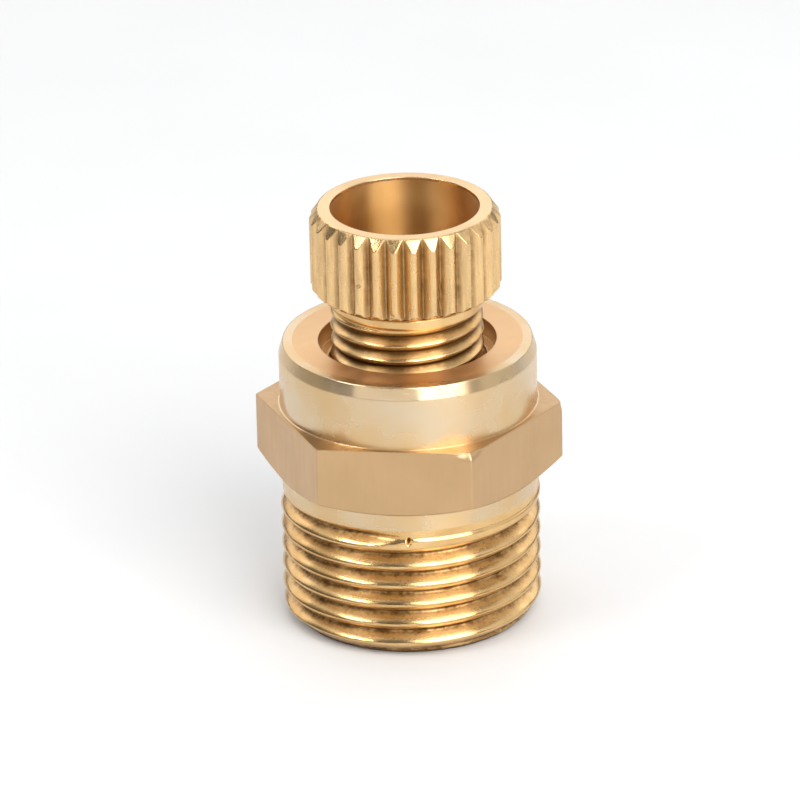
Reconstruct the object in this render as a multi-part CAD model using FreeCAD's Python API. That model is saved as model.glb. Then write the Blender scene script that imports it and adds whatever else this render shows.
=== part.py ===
import FreeCAD, Part
import math
import os
from FreeCAD import Vector

# Automatic air vent with a knurled vent screw. Millimetres, +Z up along the axis.
# The threaded end stands on z = 0, and two of the hexagon's flats face -Y and +Y.
# The screw is drawn one and a half turns open.

# Pipe thread, G 3/8.
PIPE_PITCH = 1.337
PIPE_CREST_R = 8.331
PIPE_ROOT_R = 7.475
PIPE_ROOT_FLAT = 0.20
PIPE_HALF_ANGLE = 27.5
PIPE_GROOVE_START_Z = -2.054
PIPE_FULL_TURNS = 6.75
PIPE_RUNOUT_TURNS = 0.9
PIPE_RUNOUT_LIFT = 0.95
PIPE_TOP_Z = 8.2
PIPE_END_R = 7.40
PIPE_END_CHAMFER = 0.90

# Outside of the valve body.
NECK_R = 8.17
HEX_ACROSS_FLATS = 17.0
HEX_BOTTOM_Z = 10.0
HEX_CORNER_BOTTOM_Z = 10.61
HEX_TOP_Z = 14.41
COLLAR_R = 8.21
COLLAR_CHAMFER_Z = 17.78
COLLAR_TOP_R = 7.94
COLLAR_TOP_Z = 18.60

# Inside of the valve body.
INLET_RECESS_R = 5.2
RING_GROOVE_R = 5.6
RING_GROOVE_LOW_Z = 0.35
RING_GROOVE_TOP_Z = 0.92
STRAINER_LOW_Z = 0.90
STRAINER_TOP_Z = 1.30
INLET_POCKET_R = 4.4
INLET_POCKET_TOP_Z = 1.7
ORIFICE_R = 1.8
WEB_TOP_Z = 2.6
SEAT_LIP_TOP_Z = 3.0
SEAT_LIP_FLAT_R = 2.15
SEAT_LIP_FOOT_R = 2.6
BORE_R = 4.25
BORE_TOP_Z = 11.4
THREAD_RELIEF_R = 5.25
THREAD_RELIEF_TOP_Z = 12.7
MOUTH_R = 5.65
MOUTH_FLOOR_Z = 17.4

# Screw thread, M10 x 1, outside on the screw and inside in the body.
STEM_PITCH = 1.0
STEM_CREST_R = 4.95
STEM_ROOT_R = 4.365
STEM_HALF_ANGLE = 30.0
STEM_PITCH_R = 4.675
STEM_CREST_Z = 10.232
STEM_RIDGE_WIDTH = 0.40
BODY_THREAD_MINOR_R = 4.46
BODY_THREAD_MAJOR_R = 5.11
BODY_SPACE_WIDTH = 0.54
BODY_CUTTER_START_R = 4.34

# Vent screw.
NOSE_BOTTOM_Z = 6.6
NOSE_R = 3.6
NOSE_TOP_Z = 9.0
PILOT_R = 4.15
O_RING_GROOVE_R = 3.3
O_RING_GROOVE_LOW_Z = 9.25
O_RING_GROOVE_TOP_Z = 10.35
STEM_THREAD_LOW_Z = 13.2
STEM_THREAD_TOP_Z = 21.85
STEM_NECK_R = 4.30
HEAD_LOW_Z = 22.2
HEAD_TOP_Z = 27.65
HEAD_R = 6.05
HEAD_RIM_R = 5.53
HEAD_TOP_CHAMFER_Z = 26.9
HEAD_LOW_CHAMFER = 0.3
KNURL_COUNT = 30
KNURL_DEPTH = 0.55
KNURL_CREST_FLAT = 0.17
KNURL_PHASE = -84.4
TIP_HOLE_R = 1.075
TIP_INSIDE_Z = 7.8
LOWER_BORE_R = 2.5
PORT_R = 0.42
PORT_Z = 8.3
PORT_COUNT = 4
DISC_BORE_R = 3.4
DISC_BORE_FLOOR_Z = 11.2
SNAP_GROOVE_R = 3.7
SNAP_GROOVE_LOW_Z = 21.7
SNAP_GROOVE_TOP_Z = 22.35
CUP_R = 4.733
CUP_CONE_LOW_Z = 22.95
CUP_FLOOR_Z = 23.6
CUP_EDGE = 0.12

# Loose pieces.
STRAINER_R = 5.1
STRAINER_HOLE_R = 0.4
STRAINER_RING_COUNT = 4
STRAINER_RING_STEP = 1.35
CLIP_INNER_R = 4.7
CLIP_OUTER_R = 5.55
CLIP_LOW_Z = 0.40
CLIP_OPEN_ANGLE = 34.0
PAD_R = 3.1
PAD_LOW_Z = 4.5
PAD_TOP_Z = 5.7
HOLDER_R = 3.8
HOLDER_LOW_Z = 4.9
HOLDER_TOP_Z = 6.5
HOLDER_POCKET_R = 3.12
STUD_R = 1.0
STUD_HEAD_LOW_Z = 7.9
STUD_HEAD_TOP_Z = 8.4
STUD_HEAD_R = 1.6
O_RING_CENTRE_R = 3.775
O_RING_SECTION_R = 0.46
O_RING_Z = 9.8
WASHER_R = 3.34
WASHER_THICKNESS = 0.6
WASHER_SLOT_COUNT = 6
WASHER_SLOT_WIDTH = 0.7
WASHER_SLOT_START_R = 1.8
SPINDLE_R = 0.75
SPINDLE_HOLE_R = 0.80
SPINDLE_LOW_HEAD_R = 1.5
SPINDLE_LOW_HEAD = 0.5
SPINDLE_TOP_HEAD_R = 1.3
SPINDLE_TOP_HEAD = 0.4
DISC_COUNT = 10
DISC_R = 3.2
DISC_THICKNESS = 0.9
COVER_LOW_Z = 21.1
SNAP_RING_INNER_R = 3.0
SNAP_RING_OUTER_R = 3.66
SNAP_RING_THICKNESS = 0.6
SNAP_RING_OPEN_ANGLE = 50.0
SNAP_LUG_R = 0.42
SNAP_LUG_HOLE_R = 0.2
SNAP_LUG_CENTRE_R = 2.86
SNAP_LUG_FROM_GAP = 4.0
RING_GAP_FACING = 90.0

SMALL_EDGE = 0.1
THREAD_CUTTER_PAST = 0.4
CUT_PAST = 1.0
AXIS = Vector(0, 0, 1)
ORIGIN = Vector(0, 0, 0)


def turned(outline):
    """The solid of revolution of a closed outline of (radius, height) points."""
    points = [Vector(r, 0, z) for r, z in outline]
    face = Part.Face(Part.makePolygon(points + [points[0]]))
    return face.revolve(ORIGIN, AXIS, 360)


def tube(inner_r, outer_r, low_z, top_z):
    """A plain ring with square edges."""
    return turned([(inner_r, low_z), (outer_r, low_z), (outer_r, top_z), (inner_r, top_z)])


def thread_outline(near_r, near_width, far_r, half_angle, past_r):
    """The section of a thread cutter: flanks from near_r to far_r, then straight on to past_r."""
    near = near_width / 2
    far = near + (far_r - near_r) * math.tan(math.radians(half_angle))
    return [(near_r, -near), (far_r, -far), (past_r, -far), (past_r, far), (far_r, far), (near_r, near)]


def section_wire(outline, z):
    """A cutter section as a closed wire in the XZ plane at height z."""
    points = [Vector(r, 0, z + dz) for r, dz in outline]
    return Part.makePolygon(points + [points[0]])


def helical_cutter(outline, pitch, radius, low_z, turns):
    """The solid that a thread cutter sweeps along a right-hand helix, starting on +X.

    It creeps inwards by about 0.02 mm a turn, so the inside thread is cut deeper than it needs.
    """
    helix = Part.makeLongHelix(pitch, pitch * turns, radius)
    helix.translate(Vector(0, 0, low_z))
    return Part.Wire(helix.Edges).makePipeShell([section_wire(outline, low_z)], True, True)


def runout_cutter(outline, pitch, radius, low_z, turns, lift):
    """The same cutter as it backs away from the work by lift on its last turns."""
    rise = pitch * turns
    helix = Part.makeHelix(pitch, rise, radius, math.degrees(math.atan2(lift, rise)))
    helix.translate(Vector(0, 0, low_z))
    return Part.Wire(helix.Edges).makePipeShell([section_wire(outline, low_z)], True, True)


def pipe_thread():
    """The threaded end of the body, with its end chamfer and the thread's run-out at the neck."""
    blank = turned([
        (0, 0),
        (PIPE_END_R, 0),
        (PIPE_CREST_R, PIPE_END_CHAMFER),
        (PIPE_CREST_R, PIPE_TOP_Z),
        (0, PIPE_TOP_Z),
    ])
    outline = thread_outline(
        PIPE_ROOT_R, PIPE_ROOT_FLAT, PIPE_CREST_R, PIPE_HALF_ANGLE, PIPE_CREST_R + THREAD_CUTTER_PAST
    )
    middle_r = (PIPE_CREST_R + PIPE_ROOT_R) / 2
    groove = helical_cutter(outline, PIPE_PITCH, middle_r, PIPE_GROOVE_START_Z, PIPE_FULL_TURNS)
    runout_z = PIPE_GROOVE_START_Z + PIPE_PITCH * PIPE_FULL_TURNS
    runout = runout_cutter(
        outline, PIPE_PITCH, middle_r, runout_z, PIPE_RUNOUT_TURNS, PIPE_RUNOUT_LIFT
    )
    runout.rotate(ORIGIN, AXIS, 360 * PIPE_FULL_TURNS)
    return blank.cut(groove).cut(runout)


def hexagon():
    """The spanner hexagon, flat on top, with its lower corners turned off to a cone."""
    corner_r = HEX_ACROSS_FLATS / 2 / math.cos(math.radians(30))
    corners = [
        Vector(corner_r * math.cos(math.radians(60 * i)), corner_r * math.sin(math.radians(60 * i)),
               HEX_BOTTOM_Z)
        for i in range(6)
    ]
    prism = Part.Face(Part.makePolygon(corners + [corners[0]])).extrude(
        Vector(0, 0, HEX_TOP_Z - HEX_BOTTOM_Z)
    )
    envelope = turned([
        (0, HEX_BOTTOM_Z),
        (HEX_ACROSS_FLATS / 2, HEX_BOTTOM_Z),
        (corner_r, HEX_CORNER_BOTTOM_Z),
        (corner_r, HEX_TOP_Z),
        (0, HEX_TOP_Z),
    ])
    return prism.common(envelope)


def body_cavity():
    """Everything that is bored out of the valve body along its axis, before the inside thread."""
    lead_in = BODY_THREAD_MAJOR_R - BODY_THREAD_MINOR_R
    return turned([
        (0, -CUT_PAST),
        (INLET_RECESS_R, -CUT_PAST),
        (INLET_RECESS_R, RING_GROOVE_LOW_Z),
        (RING_GROOVE_R, RING_GROOVE_LOW_Z),
        (RING_GROOVE_R, RING_GROOVE_TOP_Z),
        (INLET_RECESS_R, RING_GROOVE_TOP_Z),
        (INLET_RECESS_R, STRAINER_TOP_Z),
        (INLET_POCKET_R, STRAINER_TOP_Z),
        (INLET_POCKET_R, INLET_POCKET_TOP_Z),
        (ORIFICE_R, INLET_POCKET_TOP_Z),
        (ORIFICE_R, SEAT_LIP_TOP_Z),
        (SEAT_LIP_FLAT_R, SEAT_LIP_TOP_Z),
        (SEAT_LIP_FOOT_R, WEB_TOP_Z),
        (BORE_R, WEB_TOP_Z),
        (BORE_R, BORE_TOP_Z),
        (THREAD_RELIEF_R, BORE_TOP_Z),
        (THREAD_RELIEF_R, THREAD_RELIEF_TOP_Z),
        (BODY_THREAD_MINOR_R, THREAD_RELIEF_TOP_Z),
        (BODY_THREAD_MINOR_R, MOUTH_FLOOR_Z - lead_in),
        (BODY_THREAD_MAJOR_R, MOUTH_FLOOR_Z),
        (MOUTH_R, MOUTH_FLOOR_Z),
        (MOUTH_R, COLLAR_TOP_Z + CUT_PAST),
        (0, COLLAR_TOP_Z + CUT_PAST),
    ])


def body_thread_cutter():
    """The inside thread's groove: the screw's ridge with a little room on both flanks."""
    slope = 2 * math.tan(math.radians(STEM_HALF_ANGLE))
    near_width = BODY_SPACE_WIDTH + (STEM_PITCH_R - BODY_CUTTER_START_R) * slope
    far_width = BODY_SPACE_WIDTH - (BODY_THREAD_MAJOR_R - STEM_PITCH_R) * slope
    outline = [
        (BODY_CUTTER_START_R, -near_width / 2),
        (BODY_THREAD_MAJOR_R, -far_width / 2),
        (BODY_THREAD_MAJOR_R, far_width / 2),
        (BODY_CUTTER_START_R, near_width / 2),
    ]
    low_z = STEM_CREST_Z + 2 * STEM_PITCH
    turns = math.ceil((MOUTH_FLOOR_Z + STEM_PITCH - low_z) / STEM_PITCH)
    return helical_cutter(outline, STEM_PITCH, STEM_PITCH_R, low_z, turns)


def valve_body():
    """The turned body: pipe thread, neck, hexagon, collar, seat, bore and inside thread."""
    upper = turned([
        (0, PIPE_TOP_Z),
        (NECK_R, PIPE_TOP_Z),
        (NECK_R, HEX_BOTTOM_Z + SMALL_EDGE),
        (COLLAR_R, HEX_BOTTOM_Z + SMALL_EDGE),
        (COLLAR_R, COLLAR_CHAMFER_Z),
        (COLLAR_TOP_R, COLLAR_TOP_Z),
        (0, COLLAR_TOP_Z),
    ])
    solid = upper.fuse(hexagon()).removeSplitter().fuse(pipe_thread())
    return solid.cut(body_cavity()).cut(body_thread_cutter())


def inlet_strainer():
    """A thin perforated disc across the inlet, with rings of round holes."""
    thickness = STRAINER_TOP_Z - STRAINER_LOW_Z
    disc = Part.makeCylinder(STRAINER_R, thickness, Vector(0, 0, STRAINER_LOW_Z))
    holes = []
    for ring in range(STRAINER_RING_COUNT):
        count = max(1, 6 * ring)
        for i in range(count):
            angle = 2 * math.pi * i / count
            x = ring * STRAINER_RING_STEP * math.cos(angle)
            y = ring * STRAINER_RING_STEP * math.sin(angle)
            low = Vector(x, y, STRAINER_LOW_Z - CUT_PAST)
            holes.append(Part.makeCylinder(STRAINER_HOLE_R, thickness + 2 * CUT_PAST, low))
    return disc.cut(Part.makeCompound(holes))


def open_ring(inner_r, outer_r, low_z, top_z, open_angle):
    """A flat spring ring, with a gap of open_angle degrees whose middle faces +Y."""
    corners = [Vector(0, 0, low_z - CUT_PAST)]
    for side in (-1, 1):
        angle = math.radians(RING_GAP_FACING + side * open_angle / 2)
        x = 2 * outer_r * math.cos(angle)
        y = 2 * outer_r * math.sin(angle)
        corners.append(Vector(x, y, low_z - CUT_PAST))
    face = Part.Face(Part.makePolygon(corners + [corners[0]]))
    wedge = face.extrude(Vector(0, 0, top_z - low_z + 2 * CUT_PAST))
    return tube(inner_r, outer_r, low_z, top_z).cut(wedge)


def strainer_ring():
    """The flat spring ring that holds the strainer up in the inlet."""
    return open_ring(CLIP_INNER_R, CLIP_OUTER_R, CLIP_LOW_Z, STRAINER_LOW_Z, CLIP_OPEN_ANGLE)


def seat_pad():
    """The soft disc that closes the seat."""
    return turned([
        (0, PAD_LOW_Z),
        (PAD_R - SMALL_EDGE, PAD_LOW_Z),
        (PAD_R, PAD_LOW_Z + SMALL_EDGE),
        (PAD_R, PAD_TOP_Z),
        (0, PAD_TOP_Z),
    ])


def swivel_pad_holder():
    """The cup around the seat pad, with the riveted stud on which the screw turns."""
    return turned([
        (0, PAD_TOP_Z),
        (HOLDER_POCKET_R, PAD_TOP_Z),
        (HOLDER_POCKET_R, HOLDER_LOW_Z),
        (HOLDER_R - SMALL_EDGE, HOLDER_LOW_Z),
        (HOLDER_R, HOLDER_LOW_Z + SMALL_EDGE),
        (HOLDER_R, HOLDER_TOP_Z - SMALL_EDGE),
        (HOLDER_R - SMALL_EDGE, HOLDER_TOP_Z),
        (STUD_R, HOLDER_TOP_Z),
        (STUD_R, STUD_HEAD_LOW_Z),
        (STUD_HEAD_R, STUD_HEAD_LOW_Z),
        (STUD_HEAD_R, STUD_HEAD_TOP_Z - 2 * SMALL_EDGE),
        (STUD_HEAD_R - 4 * SMALL_EDGE, STUD_HEAD_TOP_Z),
        (0, STUD_HEAD_TOP_Z),
    ])


def screw_thread():
    """The threaded length of the vent screw, with a lead-in chamfer at its lower end."""
    lead_in = STEM_CREST_R - PILOT_R
    blank = turned([
        (0, STEM_THREAD_LOW_Z),
        (PILOT_R, STEM_THREAD_LOW_Z),
        (STEM_CREST_R, STEM_THREAD_LOW_Z + lead_in),
        (STEM_CREST_R, STEM_THREAD_TOP_Z - SMALL_EDGE),
        (STEM_CREST_R - SMALL_EDGE, STEM_THREAD_TOP_Z),
        (0, STEM_THREAD_TOP_Z),
    ])
    slope = 2 * math.tan(math.radians(STEM_HALF_ANGLE))
    root_width = STEM_PITCH - STEM_RIDGE_WIDTH - (STEM_PITCH_R - STEM_ROOT_R) * slope
    outline = thread_outline(
        STEM_ROOT_R, root_width, STEM_CREST_R, STEM_HALF_ANGLE, STEM_CREST_R + THREAD_CUTTER_PAST
    )
    low_z = STEM_CREST_Z + STEM_PITCH + STEM_PITCH / 2
    turns = math.ceil((STEM_THREAD_TOP_Z + STEM_PITCH - low_z) / STEM_PITCH)
    return blank.cut(helical_cutter(outline, STEM_PITCH, STEM_PITCH_R, low_z, turns))


def knurled_prism():
    """The head's prism of straight V-grooves, full height, with sharp ends."""
    step = 2 * math.pi / KNURL_COUNT
    half_flat = KNURL_CREST_FLAT / 2 / HEAD_R
    points = []
    for i in range(KNURL_COUNT):
        groove_angle = math.radians(KNURL_PHASE) + i * step
        corners = [
            (HEAD_R - KNURL_DEPTH, groove_angle),
            (HEAD_R, groove_angle + step / 2 - half_flat),
            (HEAD_R, groove_angle + step / 2 + half_flat),
        ]
        for r, angle in corners:
            points.append(Vector(r * math.cos(angle), r * math.sin(angle), HEAD_LOW_Z))
    outline = Part.Face(Part.makePolygon(points + [points[0]]))
    return outline.extrude(Vector(0, 0, HEAD_TOP_Z - HEAD_LOW_Z))


def screw_head():
    """The knurled head, chamfered deep at the top and lightly underneath."""
    envelope = turned([
        (0, HEAD_LOW_Z),
        (HEAD_R - HEAD_LOW_CHAMFER, HEAD_LOW_Z),
        (HEAD_R, HEAD_LOW_Z + HEAD_LOW_CHAMFER),
        (HEAD_R, HEAD_TOP_CHAMFER_Z),
        (HEAD_RIM_R, HEAD_TOP_Z),
        (0, HEAD_TOP_Z),
    ])
    return knurled_prism().common(envelope)


def screw_shank():
    """The smooth lengths of the screw: nose, pilot with its seal groove, and the neck under the head."""
    lower = turned([
        (0, NOSE_BOTTOM_Z),
        (NOSE_R - 2 * SMALL_EDGE, NOSE_BOTTOM_Z),
        (NOSE_R, NOSE_BOTTOM_Z + 2 * SMALL_EDGE),
        (NOSE_R, NOSE_TOP_Z - 2 * SMALL_EDGE),
        (PILOT_R, NOSE_TOP_Z),
        (PILOT_R, O_RING_GROOVE_LOW_Z),
        (O_RING_GROOVE_R, O_RING_GROOVE_LOW_Z),
        (O_RING_GROOVE_R, O_RING_GROOVE_TOP_Z),
        (PILOT_R, O_RING_GROOVE_TOP_Z),
        (PILOT_R, STEM_THREAD_LOW_Z),
        (0, STEM_THREAD_LOW_Z),
    ])
    neck_length = HEAD_LOW_Z - STEM_THREAD_TOP_Z
    neck = Part.makeCylinder(STEM_NECK_R, neck_length, Vector(0, 0, STEM_THREAD_TOP_Z))
    return lower.fuse(neck)


def screw_cavity():
    """Everything bored out of the screw along its axis, from the tip hole up to the open cup."""
    return turned([
        (0, NOSE_BOTTOM_Z - CUT_PAST),
        (TIP_HOLE_R, NOSE_BOTTOM_Z - CUT_PAST),
        (TIP_HOLE_R, TIP_INSIDE_Z),
        (LOWER_BORE_R, TIP_INSIDE_Z),
        (LOWER_BORE_R, DISC_BORE_FLOOR_Z),
        (DISC_BORE_R, DISC_BORE_FLOOR_Z),
        (DISC_BORE_R, SNAP_GROOVE_LOW_Z),
        (SNAP_GROOVE_R, SNAP_GROOVE_LOW_Z),
        (SNAP_GROOVE_R, SNAP_GROOVE_TOP_Z),
        (DISC_BORE_R, SNAP_GROOVE_TOP_Z),
        (DISC_BORE_R, CUP_CONE_LOW_Z),
        (CUP_R, CUP_FLOOR_Z),
        (CUP_R, HEAD_TOP_Z - CUP_EDGE),
        (CUP_R + CUP_EDGE, HEAD_TOP_Z),
        (CUP_R + CUP_EDGE, HEAD_TOP_Z + CUT_PAST),
        (0, HEAD_TOP_Z + CUT_PAST),
    ])


def side_ports():
    """The radial holes that let air from around the nose into the screw."""
    ports = []
    for i in range(PORT_COUNT):
        port = Part.makeCylinder(PORT_R, HEAD_R, Vector(0, 0, PORT_Z), Vector(1, 0, 0))
        port.rotate(ORIGIN, AXIS, 360 / PORT_COUNT * (i + 0.5))
        ports.append(port)
    return Part.makeCompound(ports)


def vent_screw():
    """The hollow knurled screw that carries the swelling discs and closes the seat."""
    solid = screw_shank().fuse(screw_thread()).fuse(screw_head())
    return solid.cut(screw_cavity()).cut(side_ports())


def stem_o_ring():
    """The round rubber ring that seals the screw in the bore."""
    return Part.makeTorus(O_RING_CENTRE_R, O_RING_SECTION_R, Vector(0, 0, O_RING_Z))


def slotted_washer(low_z):
    """A washer with slots open to its rim, so air can pass while the discs stay put."""
    washer = tube(SPINDLE_HOLE_R, WASHER_R, low_z, low_z + WASHER_THICKNESS)
    slot_low = Vector(WASHER_SLOT_START_R, -WASHER_SLOT_WIDTH / 2, low_z - CUT_PAST)
    slot_height = WASHER_THICKNESS + 2 * CUT_PAST
    slots = []
    for i in range(WASHER_SLOT_COUNT):
        slot = Part.makeBox(WASHER_R, WASHER_SLOT_WIDTH, slot_height, slot_low)
        slot.rotate(ORIGIN, AXIS, 360 / WASHER_SLOT_COUNT * i)
        slots.append(slot)
    return washer.cut(Part.makeCompound(slots))


def disc_support():
    """The slotted washer under the stack of discs."""
    return slotted_washer(DISC_BORE_FLOOR_Z)


def disc_cover():
    """The slotted washer above the stack of discs."""
    return slotted_washer(COVER_LOW_Z)


def swelling_disc(index):
    """One fibre disc of the stack, counted from 0 at the bottom."""
    low_z = DISC_BORE_FLOOR_Z + WASHER_THICKNESS + index * DISC_THICKNESS
    return tube(SPINDLE_HOLE_R, DISC_R, low_z, low_z + DISC_THICKNESS)


def disc_spindle():
    """The pin through the stack, with a head below the support and a riveted head on the cover."""
    cover_top_z = COVER_LOW_Z + WASHER_THICKNESS
    return turned([
        (0, DISC_BORE_FLOOR_Z - SPINDLE_LOW_HEAD),
        (SPINDLE_LOW_HEAD_R, DISC_BORE_FLOOR_Z - SPINDLE_LOW_HEAD),
        (SPINDLE_LOW_HEAD_R, DISC_BORE_FLOOR_Z),
        (SPINDLE_R, DISC_BORE_FLOOR_Z),
        (SPINDLE_R, cover_top_z),
        (SPINDLE_TOP_HEAD_R, cover_top_z),
        (SPINDLE_TOP_HEAD_R - 2 * SMALL_EDGE, cover_top_z + SPINDLE_TOP_HEAD),
        (0, cover_top_z + SPINDLE_TOP_HEAD),
    ])


def disc_retaining_ring():
    """The internal spring ring above the cover, with two drilled lugs for pliers."""
    top_z = SNAP_GROOVE_LOW_Z + SNAP_RING_THICKNESS
    ring = open_ring(
        SNAP_RING_INNER_R, SNAP_RING_OUTER_R, SNAP_GROOVE_LOW_Z, top_z, SNAP_RING_OPEN_ANGLE
    )
    for side in (-1, 1):
        angle = math.radians(RING_GAP_FACING + side * (SNAP_RING_OPEN_ANGLE / 2 + SNAP_LUG_FROM_GAP))
        x = SNAP_LUG_CENTRE_R * math.cos(angle)
        y = SNAP_LUG_CENTRE_R * math.sin(angle)
        centre = Vector(x, y, SNAP_GROOVE_LOW_Z)
        ring = ring.fuse(Part.makeCylinder(SNAP_LUG_R, SNAP_RING_THICKNESS, centre))
        ring = ring.cut(Part.makeCylinder(SNAP_LUG_HOLE_R, SNAP_RING_THICKNESS, centre))
    return ring


def all_nodes():
    """Every separate piece by name."""
    nodes = {
        "valve_body": valve_body(),
        "inlet_strainer": inlet_strainer(),
        "strainer_ring": strainer_ring(),
        "seat_pad": seat_pad(),
        "swivel_pad_holder": swivel_pad_holder(),
        "vent_screw": vent_screw(),
        "stem_o_ring": stem_o_ring(),
        "disc_support": disc_support(),
        "disc_cover": disc_cover(),
        "disc_spindle": disc_spindle(),
        "disc_retaining_ring": disc_retaining_ring(),
    }
    for i in range(DISC_COUNT):
        nodes[f"swelling_disc_{i + 1}"] = swelling_disc(i)
    return nodes


os.makedirs("parts", exist_ok=True)
for name, shape in all_nodes().items():
    if len(shape.Solids) != 1 or not shape.isValid():
        raise ValueError(f"{name} is not one valid solid")
    solid = shape.Solids[0]
    solid.exportStep(f"parts/{name}.step")
    box = solid.BoundBox
    print(f"{name}: {solid.Volume:.2f} mm3, z {box.ZMin:.2f} to {box.ZMax:.2f}")
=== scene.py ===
import math

import bpy
import numpy as np
from mathutils import Matrix, Vector


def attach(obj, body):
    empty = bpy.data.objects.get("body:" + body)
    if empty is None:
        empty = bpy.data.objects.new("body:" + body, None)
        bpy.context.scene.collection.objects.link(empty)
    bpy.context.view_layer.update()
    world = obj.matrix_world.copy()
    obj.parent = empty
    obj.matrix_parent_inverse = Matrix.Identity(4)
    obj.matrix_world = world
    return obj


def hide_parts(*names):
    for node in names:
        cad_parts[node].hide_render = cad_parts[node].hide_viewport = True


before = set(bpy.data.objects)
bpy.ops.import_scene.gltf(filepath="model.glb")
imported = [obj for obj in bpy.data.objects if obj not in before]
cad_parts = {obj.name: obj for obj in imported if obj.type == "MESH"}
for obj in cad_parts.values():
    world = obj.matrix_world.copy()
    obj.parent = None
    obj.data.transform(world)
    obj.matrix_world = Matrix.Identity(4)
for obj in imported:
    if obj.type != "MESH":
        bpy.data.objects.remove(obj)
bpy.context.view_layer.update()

MM = 0.001

# ---------------------------------------------------------------- sizes, in millimetres and degrees

# pipe thread, G 3/8
PIPE_PITCH = 1.337
PIPE_CREST_R = 8.325
PIPE_ROOT_R = 7.49
PIPE_GROOVE_START_Z = -2.054
PIPE_HALF_ANGLE = 27.5
PIPE_END_R = 7.40
PIPE_END_CHAMFER = 0.90
PIPE_TOP_Z = 8.2
PIPE_FADE_Z = (8.24, 8.38)
PIPE_FADE_LIFT = 0.95
PIPE_ROOT_ROUND = 0.17
PIPE_CREST_ROUND = 0.52
PIPE_END_ROUND = 0.05
PIPE_NECK_ROUND = 0.03
PIPE_BLEND_BELOW = 0.1
PIPE_BLEND_ABOVE = 0.12
PIPE_ROWS_PAST_TOP = 0.35
PIPE_WANDER = 0.004
PIPE_RIPPLE = 0.006
PIPE_RIPPLE_WAVES = 7
PIPE_RIPPLE_LEAN = 9

# outside of the valve body
NECK_R = 8.17
NECK_ROWS_Z = (8.8, 9.6, 9.9)
NECK_FILLET = (0.005, 9.96)
HEX_FLAT_R = 8.5
HEX_BOTTOM_Z = 10.0
HEX_CONE_SLOPE = 0.61 / 1.315
HEX_TOP_Z = 14.41
HEX_CORNER_ROUND = 0.04
HEX_SIDES = 6
HEX_FIRST_ANGLE = 30
HEX_WEAR = 0.05
HEX_WEAR_DRIFT = 0.01
COLLAR_R = 8.21
COLLAR_CHAMFER_Z = 17.78
COLLAR_TOP_R = 7.94
COLLAR_TOP_Z = 18.60
COLLAR_FOOT_OUT = 0.10
COLLAR_FOOT_UP = 0.02

# inside of the valve body
INLET_RECESS_R = 5.2
RING_GROOVE_R = 5.6
RING_GROOVE_LOW_Z = 0.35
RING_GROOVE_TOP_Z = 0.92
STRAINER_TOP_Z = 1.30
INLET_POCKET_R = 4.4
INLET_POCKET_TOP_Z = 1.7
ORIFICE_R = 1.8
ORIFICE_SEAM_LOW_Z = 2.2
ORIFICE_SEAM_TOP_Z = 2.3
WEB_TOP_Z = 2.6
SEAT_LIP_TOP_Z = 3.0
SEAT_LIP_FLAT_R = 2.15
SEAT_LIP_FOOT_R = 2.6
BORE_R = 4.25
BORE_TOP_Z = 11.4
THREAD_RELIEF_R = 5.25
THREAD_RELIEF_TOP_Z = 12.7
MOUTH_R = 5.65
MOUTH_FLOOR_Z = 17.4

# screw thread, M10 x 1
STEM_PITCH = 1.0
STEM_CREST_R = 4.945
STEM_ROOT_R = 4.42
STEM_CREST_FLAT = 0.16
STEM_CREST_Z = 10.232
STEM_THREAD_LOW_Z = 13.2
STEM_THREAD_TOP_Z = 21.85
STEM_NECK_R = 4.30
STEM_CREST_ROUND = 0.50
STEM_FADE_Z = (21.00, 21.50)
STEM_FADE_LIFT = 1.2
STEM_ROOT_ROUND = 0.26
STEM_TIP_ROUND = 0.04
STEM_TAIL_CHAMFER = 0.1
STEM_WANDER = 0.003
STEM_FIRST_ROW_UP = 0.02
STEM_FOOT_OUT = 0.1
STEM_FOOT_UP = 0.05
THREAD_HALF_ANGLE = 30
BODY_THREAD_MINOR_R = 4.46
BODY_THREAD_MAJOR_R = 5.05
BODY_THREAD_PAST_MAJOR = 0.04
BODY_THREAD_HALF_FLAT = 0.03
BODY_THREAD_MAJOR_ROUND = 0.06
BODY_THREAD_MINOR_ROUND = 0.04
BODY_THREAD_MOUTH_ROUND = 0.03

# vent screw
NOSE_BOTTOM_Z = 6.6
NOSE_R = 3.6
NOSE_TOP_Z = 9.0
NOSE_CHAMFER = 0.2
PILOT_R = 4.15
O_RING_GROOVE_R = 3.3
O_RING_GROOVE_LOW_Z = 9.25
O_RING_GROOVE_TOP_Z = 10.35
HEAD_LOW_Z = 22.2
HEAD_TOP_Z = 27.65
HEAD_R = 6.05
HEAD_RIM_R = 5.53
HEAD_TOP_CHAMFER_Z = 26.9
HEAD_LOW_CHAMFER = 0.3
UNDER_HEAD_R = 5.4
RIM_START = (0.01, 0.02)
RIM_CORNER_IN = 0.06
HEAD_CHAMFER_ROUND = 0.03
KNURL_COUNT = 30
KNURL_DEPTH = 0.55
KNURL_PHASE = -84.4
KNURL_GROOVE_SHARE = 0.37
KNURL_GROOVE_ROUND = 0.03
KNURL_CREST_ROUND = 0.05
KNURL_SHALLOWEST = 0.90
KNURL_SHIFT = 0.018

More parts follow.
